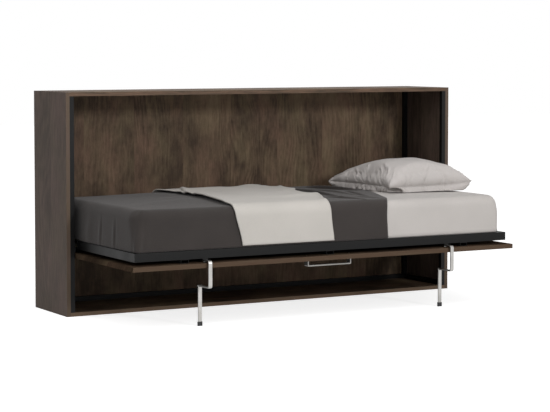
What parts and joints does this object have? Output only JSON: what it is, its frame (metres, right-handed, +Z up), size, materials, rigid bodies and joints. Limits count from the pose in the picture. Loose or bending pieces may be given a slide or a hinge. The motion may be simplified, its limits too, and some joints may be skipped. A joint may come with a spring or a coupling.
{
  "type": "horizontal wall bed",
  "caption": "Shallow dark oak cabinet whose door folds down as a single bed on two chromed step legs, made up with cover, throw and pillow.",
  "frame": {"origin": "on the floor under the middle of the cabinet, half-way between its front and the wall", "axes": "+X along the bed to the head end, +Y back to the wall, +Z up; drawn with the bed open"},
  "size_m": [2.186, 1.061, 1.07],
  "materials": {
    "oak_laminate": "dark oak melamine board with open grain",
    "black_steel": "fine matt black powder coat",
    "zinc_steel": "bright zinc plate",
    "chrome_steel": "bright chrome plate",
    "beech_slat": "sanded beech ply",
    "black_plastic": "moulded plastic",
    "bronze_bush": "sintered bronze",
    "foot_rubber": "moulded rubber",
    "pale_sheet": "plain woven cotton, warm light grey",
    "charcoal_cloth": "plain woven cotton, charcoal",
    "pale_throw": "plain woven cotton, pale greige"
  },
  "bodies": {
    "cabinet": {"left_side_panel": "oak_laminate", "right_side_panel": "oak_laminate", "top_panel": "oak_laminate", "bottom_panel": "oak_laminate", "back_panel": "oak_laminate", "left_front_post": "black_steel", "right_front_post": "black_steel", "left_rear_post": "black_steel", "right_rear_post": "black_steel", "left_side_rails": "black_steel", "right_side_rails": "black_steel", "rear_rail": "black_steel", "left_pivot_bracket": "black_steel", "right_pivot_bracket": "black_steel", "left_pivot_pin": "zinc_steel", "right_pivot_pin": "zinc_steel", "left_spring_stud": "zinc_steel", "right_spring_stud": "zinc_steel", "cam_locks": "zinc_steel", "cam_bolts": "zinc_steel", "frame_screws": "black_steel", "back_screws": "zinc_steel"},
    "bed": {"front_rail": "black_steel", "back_rail": "black_steel", "foot_rail": "black_steel", "head_rail": "black_steel", "cross_bars": "black_steel", "slats": "beech_slat", "slat_holders": "black_plastic", "mattress_stops": "black_steel", "left_pivot_plate": "black_steel", "right_pivot_plate": "black_steel", "left_bush": "bronze_bush", "right_bush": "bronze_bush", "left_lower_stud": "zinc_steel", "right_lower_stud": "zinc_steel", "door_panel": "oak_laminate", "door_screws": "zinc_steel", "handle": "chrome_steel", "handle_screws": "zinc_steel", "left_leg_bracket": "chrome_steel", "right_leg_bracket": "chrome_steel", "leg_spacers": "black_steel", "leg_bolts": "zinc_steel", "left_leg_pin": "zinc_steel", "right_leg_pin": "zinc_steel", "mattress": "pale_sheet", "bed_cover": "charcoal_cloth", "throw": "pale_throw", "pillow": "pale_sheet"},
    "left_leg": {"left_leg_bar": "chrome_steel", "left_foot": "foot_rubber"},
    "right_leg": {"right_leg_bar": "chrome_steel", "right_foot": "foot_rubber"},
    "left_spring_body": {"left_spring_tube": "black_steel"},
    "left_spring_piston": {"left_spring_rod": "chrome_steel"},
    "right_spring_body": {"right_spring_tube": "black_steel"},
    "right_spring_piston": {"right_spring_rod": "chrome_steel"}
  },
  "joints": [
    {"name": "bed_fold", "type": "hinge", "parent": "cabinet", "child": "bed", "pos_m": [0, -0.148, 0.33], "axis": [-1, 0, 0], "range_deg": [0, 90], "deforming": ["pillow"]},
    {"name": "left_leg_swing", "type": "hinge", "parent": "bed", "child": "left_leg", "pos_m": [-0.666, -0.753, 0.187], "axis": [1, 0, 0], "range_deg": [0, 90]},
    {"name": "left_spring_tilt", "type": "hinge", "parent": "cabinet", "child": "left_spring_body", "pos_m": [-1.037, -0.068, 0.58], "axis": [-1, 0, 0], "range_deg": [0, 16.77]},
    {"name": "left_spring_stroke", "type": "slide", "parent": "left_spring_body", "child": "left_spring_piston", "axis": [0, 0.0814, -0.9967], "range_m": [0, 0.11223]},
    {"name": "right_leg_swing", "type": "hinge", "parent": "bed", "child": "right_leg", "pos_m": [0.666, -0.753, 0.187], "axis": [1, 0, 0], "range_deg": [0, 90]},
    {"name": "right_spring_tilt", "type": "hinge", "parent": "cabinet", "child": "right_spring_body", "pos_m": [1.037, -0.068, 0.58], "axis": [-1, 0, 0], "range_deg": [0, 16.77]},
    {"name": "right_spring_stroke", "type": "slide", "parent": "right_spring_body", "child": "right_spring_piston", "axis": [0, 0.0814, -0.9967], "range_m": [0, 0.11223]}
  ],
  "couplings": [
    {"joint": "left_leg_swing", "follows": "bed_fold", "ratio": 1},
    {"joint": "left_spring_tilt", "follows": "bed_fold", "ratio": 0.18624},
    {"joint": "left_spring_stroke", "follows": "bed_fold", "m_per_rad": 0.071385},
    {"joint": "right_leg_swing", "follows": "bed_fold", "ratio": 1},
    {"joint": "right_spring_tilt", "follows": "bed_fold", "ratio": 0.18624},
    {"joint": "right_spring_stroke", "follows": "bed_fold", "m_per_rad": 0.071385}
  ]
}
